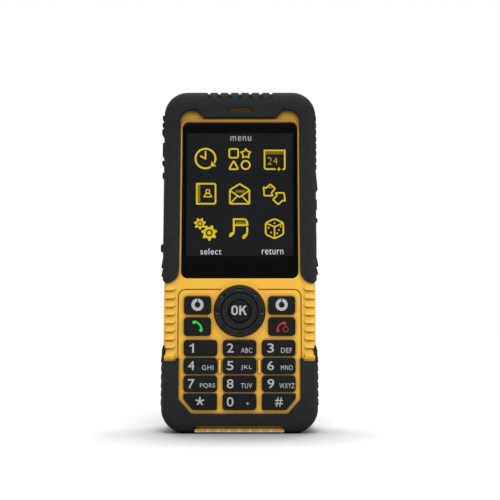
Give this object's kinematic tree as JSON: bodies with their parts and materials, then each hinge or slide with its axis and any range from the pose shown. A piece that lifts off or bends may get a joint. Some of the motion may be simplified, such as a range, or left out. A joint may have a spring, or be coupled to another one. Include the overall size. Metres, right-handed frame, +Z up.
{
  "type": "rugged satellite phone",
  "caption": "Rugged bar handset with rubber bumpers, display window, keypad, rocking navigation dial, side keys, hinged port cover and a lift-off battery cover.",
  "frame": {"origin": "middle of the bottom end, between the two rubber pads the handset stands on", "axes": "+Z up along the height, -Y is the way the display and keys face, +X to the right seen from the front"},
  "size_m": [0.0658, 0.0249, 0.14],
  "materials": {
    "bumper_rubber": "soft black moulded rubber with a fine grain",
    "yellow_shell": "satin warm yellow moulded plastic",
    "seal_rubber": "black silicone",
    "steel": "stainless steel",
    "lens_glass": "dark polished window",
    "display_glass": "dark display",
    "flex_film": "amber flexible circuit",
    "magnesium": "cast light alloy frame",
    "circuit_board": "green laminate",
    "tinned_steel": "tinned steel",
    "gold_mesh": "fine gold coloured mesh",
    "black_plastic": "black moulded plastic",
    "key_plastic": "satin black keys",
    "dial_plastic": "satin dark grey dial",
    "battery_wrap": "dark wrapped battery case",
    "cover_plastic": "textured black cover",
    "window_glass": "clear polished window",
    "tungsten": "sintered heavy metal",
    "patch_ceramic": "beige ceramic patch",
    "card_plastic": "white plastic card"
  },
  "bodies": {
    "handset": {"upper_bumper": "bumper_rubber", "lower_bumper": "bumper_rubber", "front_housing": "yellow_shell", "rear_housing": "yellow_shell", "housing_seal": "seal_rubber", "lanyard_bar": "steel", "housing_screws": "steel", "lens": "lens_glass", "lens_gasket": "seal_rubber", "display_module": "display_glass", "display_flex": "flex_film", "chassis": "magnesium", "main_board": "circuit_board", "shield_cans": "tinned_steel", "earpiece_grille": "gold_mesh", "earpiece": "black_plastic", "keypad_membrane": "seal_rubber", "keypad_board": "circuit_board", "battery_contacts": "black_plastic", "camera_module": "black_plastic", "camera_window": "window_glass", "flash_led": "window_glass", "loudspeaker": "black_plastic", "vibration_motor": "steel", "microphone": "tinned_steel", "usb_connector": "tinned_steel", "cellular_antenna": "black_plastic", "satellite_patch_antenna": "patch_ceramic", "sim_socket": "tinned_steel", "port_cover_pin": "steel", "cover_seal": "seal_rubber"},
    "key_1": {"key_1": "key_plastic"},
    "key_2": {"key_2": "key_plastic"},
    "key_3": {"key_3": "key_plastic"},
    "key_4": {"key_4": "key_plastic"},
    "key_5": {"key_5": "key_plastic"},
    "key_6": {"key_6": "key_plastic"},
    "key_7": {"key_7": "key_plastic"},
    "key_8": {"key_8": "key_plastic"},
    "key_9": {"key_9": "key_plastic"},
    "key_star": {"key_star": "key_plastic"},
    "key_0": {"key_0": "key_plastic"},
    "key_hash": {"key_hash": "key_plastic"},
    "soft_key_left": {"soft_key_left": "key_plastic"},
    "soft_key_right": {"soft_key_right": "key_plastic"},
    "call_key": {"call_key": "key_plastic"},
    "end_key": {"end_key": "key_plastic"},
    "ok_button": {"ok_button": "key_plastic"},
    "nav_inner_ring": {"nav_inner_ring": "dial_plastic"},
    "nav_outer_ring": {"nav_outer_ring": "dial_plastic"},
    "side_key_left": {"side_key_left": "bumper_rubber"},
    "side_key_right": {"side_key_right": "bumper_rubber"},
    "battery_cover": {"battery_cover": "cover_plastic"},
    "battery": {"battery": "battery_wrap"},
    "cover_lock_left": {"cover_lock_left": "steel"},
    "cover_lock_right": {"cover_lock_right": "steel"},
    "port_cover": {"port_cover": "yellow_shell"},
    "vibration_weight": {"vibration_weight": "tungsten"},
    "sim_card": {"sim_card": "card_plastic"}
  },
  "joints": [
    {"name": "key_1_press", "type": "slide", "parent": "handset", "child": "key_1", "axis": [0, 1, 0], "range_m": [0, 0.0004]},
    {"name": "key_2_press", "type": "slide", "parent": "handset", "child": "key_2", "axis": [0, 1, 0], "range_m": [0, 0.0004]},
    {"name": "key_3_press", "type": "slide", "parent": "handset", "child": "key_3", "axis": [0, 1, 0], "range_m": [0, 0.0004]},
    {"name": "key_4_press", "type": "slide", "parent": "handset", "child": "key_4", "axis": [0, 1, 0], "range_m": [0, 0.0004]},
    {"name": "key_5_press", "type": "slide", "parent": "handset", "child": "key_5", "axis": [0, 1, 0], "range_m": [0, 0.0004]},
    {"name": "key_6_press", "type": "slide", "parent": "handset", "child": "key_6", "axis": [0, 1, 0], "range_m": [0, 0.0004]},
    {"name": "key_7_press", "type": "slide", "parent": "handset", "child": "key_7", "axis": [0, 1, 0], "range_m": [0, 0.0004]},
    {"name": "key_8_press", "type": "slide", "parent": "handset", "child": "key_8", "axis": [0, 1, 0], "range_m": [0, 0.0004]},
    {"name": "key_9_press", "type": "slide", "parent": "handset", "child": "key_9", "axis": [0, 1, 0], "range_m": [0, 0.0004]},
    {"name": "key_star_press", "type": "slide", "parent": "handset", "child": "key_star", "axis": [0, 1, 0], "range_m": [0, 0.0004]},
    {"name": "key_0_press", "type": "slide", "parent": "handset", "child": "key_0", "axis": [0, 1, 0], "range_m": [0, 0.0004]},
    {"name": "key_hash_press", "type": "slide", "parent": "handset", "child": "key_hash", "axis": [0, 1, 0], "range_m": [0, 0.0004]},
    {"name": "soft_key_left_press", "type": "slide", "parent": "handset", "child": "soft_key_left", "axis": [0, 1, 0], "range_m": [0, 0.0004]},
    {"name": "soft_key_right_press", "type": "slide", "parent": "handset", "child": "soft_key_right", "axis": [0, 1, 0], "range_m": [0, 0.0004]},
    {"name": "call_key_press", "type": "slide", "parent": "handset", "child": "call_key", "axis": [0, 1, 0], "range_m": [0, 0.0004]},
    {"name": "end_key_press", "type": "slide", "parent": "handset", "child": "end_key", "axis": [0, 1, 0], "range_m": [0, 0.0004]},
    {"name": "ok_button_press", "type": "slide", "parent": "handset", "child": "ok_button", "axis": [0, 1, 0], "range_m": [0, 0.0004]},
    {"name": "nav_tilt_up_down", "type": "hinge", "parent": "handset", "child": "nav_inner_ring", "pos_m": [0, -0.0108, 0.04852], "axis": [1, 0, 0], "range_deg": [-2.5, 2.5]},
    {"name": "nav_tilt_left_right", "type": "hinge", "parent": "nav_inner_ring", "child": "nav_outer_ring", "pos_m": [0, -0.0108, 0.04852], "axis": [0, 0, 1], "range_deg": [-2.5, 2.5]},
    {"name": "side_key_left_press", "type": "slide", "parent": "handset", "child": "side_key_left", "axis": [1, 0, 0], "range_m": [0, 0.0004]},
    {"name": "side_key_right_press", "type": "slide", "parent": "handset", "child": "side_key_right", "axis": [-1, 0, 0], "range_m": [0, 0.0004]},
    {"name": "battery_cover_lift", "type": "slide", "parent": "handset", "child": "battery_cover", "axis": [0, 1, 0], "range_m": [0, 0.03]},
    {"name": "battery_lift", "type": "slide", "parent": "handset", "child": "battery", "axis": [0, 1, 0], "range_m": [0, 0.015]},
    {"name": "cover_lock_left_turn", "type": "hinge", "parent": "battery_cover", "child": "cover_lock_left", "pos_m": [-0.014, 0.0115, 0.0215], "axis": [0, 1, 0], "range_deg": [0, 90]},
    {"name": "cover_lock_right_turn", "type": "hinge", "parent": "battery_cover", "child": "cover_lock_right", "pos_m": [0.014, 0.0115, 0.0215], "axis": [0, 1, 0], "range_deg": [-90, 0]},
    {"name": "port_cover_hinge", "type": "hinge", "parent": "handset", "child": "port_cover", "pos_m": [0, 0.0079, 0.00105], "axis": [1, 0, 0], "range_deg": [0, 110]},
    {"name": "vibration_spin", "type": "hinge", "parent": "handset", "child": "vibration_weight", "pos_m": [-0.0116, 0.002, 0.125], "axis": [1, 0, 0], "continuous": true},
    {"name": "sim_card_slide", "type": "slide", "parent": "handset", "child": "sim_card", "axis": [0, 0, -1], "range_m": [0, 0.016]}
  ],
  "couplings": [
    {"joint": "battery_lift", "follows": "battery_cover_lift", "ratio": 0.5}
  ]
}
